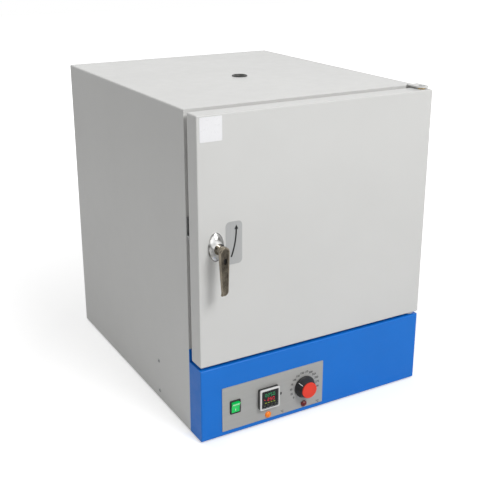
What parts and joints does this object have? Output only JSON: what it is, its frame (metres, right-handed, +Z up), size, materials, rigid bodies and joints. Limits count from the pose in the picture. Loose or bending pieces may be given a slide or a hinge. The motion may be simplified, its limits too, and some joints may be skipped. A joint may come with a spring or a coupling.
{
  "type": "laboratory drying oven",
  "caption": "Bench-top laboratory oven: insulated chamber with wire shelves, side-hinged door with turning lever latch, and a front control housing below it.",
  "frame": {"origin": "on the bench, under the middle of the oven's overall width and depth", "axes": "+X to the right seen from the front, +Y from the front to the back, +Z up"},
  "size_m": [0.563, 0.7597, 0.6944],
  "materials": {
    "grey_paint": "fine-textured light grey powder coat",
    "blue_paint": "fine-textured blue powder coat",
    "control_plate_metal": "satin silver-grey anodised",
    "stainless": "brushed",
    "chrome": "polished",
    "zinc_steel": "zinc plated",
    "brass": "turned",
    "copper": "drawn copper",
    "mineral_wool": "fibrous",
    "seal_rubber": "matte silicone",
    "foot_rubber": "matte",
    "black_plastic": "satin",
    "controller_bezel": "gloss",
    "dark_window": "gloss",
    "key_rubber": "matte",
    "green_lens": "gloss, lit",
    "red_plastic": "gloss",
    "amber_lens": "gloss, lit",
    "red_lens": "gloss",
    "label": "matte",
    "white_plastic": "matte",
    "white_ceramic": "glazed steatite"
  },
  "bodies": {
    "cabinet": {"case": "grey_paint", "rear_panel": "grey_paint", "rear_panel_screws": "zinc_steel", "side_screws": "zinc_steel", "base_pan": "grey_paint", "feet": "foot_rubber", "front_frame": "grey_paint", "chamber_liner": "stainless", "chamber_insulation": "mineral_wool", "deck_plate": "grey_paint", "vent_tube": "stainless", "vent_collar": "black_plastic", "rack_left": "stainless", "rack_right": "stainless", "shelf_lower": "chrome", "shelf_upper": "chrome", "floor_plate": "stainless", "heating_elements": "stainless", "element_bushes": "white_ceramic", "temperature_probe": "stainless", "thermostat_bulb": "copper", "control_housing": "blue_paint", "control_plate": "control_plate_metal", "switch_body": "black_plastic", "controller_case": "black_plastic", "controller_frame": "controller_bezel", "controller_window": "dark_window", "thermostat_body": "black_plastic", "amber_lamp_lens": "amber_lens", "red_lamp_lens": "red_lens", "lamp_bodies": "black_plastic", "component_tray": "grey_paint", "terminal_block": "white_plastic", "power_relay": "black_plastic", "cable_gland": "black_plastic", "hinge_bracket_upper": "grey_paint", "hinge_bracket_lower": "grey_paint", "hinge_pins": "zinc_steel", "front_screws": "zinc_steel", "keeper": "zinc_steel"},
    "door": {"door_skin": "grey_paint", "door_inner_panel": "stainless", "door_insulation": "mineral_wool", "door_seal": "seal_rubber", "hinge_bushes": "brass", "handle_rose": "chrome", "spindle_sleeve": "zinc_steel", "latch_label": "label"},
    "handle": {"lever": "chrome", "handle_spindle": "zinc_steel", "latch_tongue": "zinc_steel", "tongue_nut": "zinc_steel"},
    "rocker": {"switch_rocker": "green_lens"},
    "dial": {"dial_shaft": "zinc_steel", "knob": "black_plastic", "knob_cap": "red_plastic"},
    "key_1": {"controller_key_1": "key_rubber"},
    "key_2": {"controller_key_2": "key_rubber"},
    "key_3": {"controller_key_3": "key_rubber"},
    "key_4": {"controller_key_4": "key_rubber"}
  },
  "joints": [
    {"name": "door_hinge", "type": "hinge", "parent": "cabinet", "child": "door", "pos_m": [0.265, -0.317, 0.43], "axis": [0, 0, 1], "range_deg": [0, 135]},
    {"name": "handle_turn", "type": "hinge", "parent": "door", "child": "handle", "pos_m": [-0.243, -0.336, 0.428], "axis": [0, -1, 0], "range_deg": [-10, 90]},
    {"name": "switch_rock", "type": "hinge", "parent": "cabinet", "child": "rocker", "pos_m": [-0.2023, -0.3369, 0.0672], "axis": [1, 0, 0], "range_deg": [-22, 0]},
    {"name": "dial_turn", "type": "hinge", "parent": "cabinet", "child": "dial", "pos_m": [-0.0305, -0.3375, 0.066], "axis": [0, 1, 0], "range_deg": [-77, 155]},
    {"name": "key_1_press", "type": "slide", "parent": "cabinet", "child": "key_1", "axis": [0, 1, 0], "range_m": [0, 0.0006], "stiffness_N_per_m": 800},
    {"name": "key_2_press", "type": "slide", "parent": "cabinet", "child": "key_2", "axis": [0, 1, 0], "range_m": [0, 0.0006], "stiffness_N_per_m": 800},
    {"name": "key_3_press", "type": "slide", "parent": "cabinet", "child": "key_3", "axis": [0, 1, 0], "range_m": [0, 0.0006], "stiffness_N_per_m": 800},
    {"name": "key_4_press", "type": "slide", "parent": "cabinet", "child": "key_4", "axis": [0, 1, 0], "range_m": [0, 0.0006], "stiffness_N_per_m": 800}
  ]
}
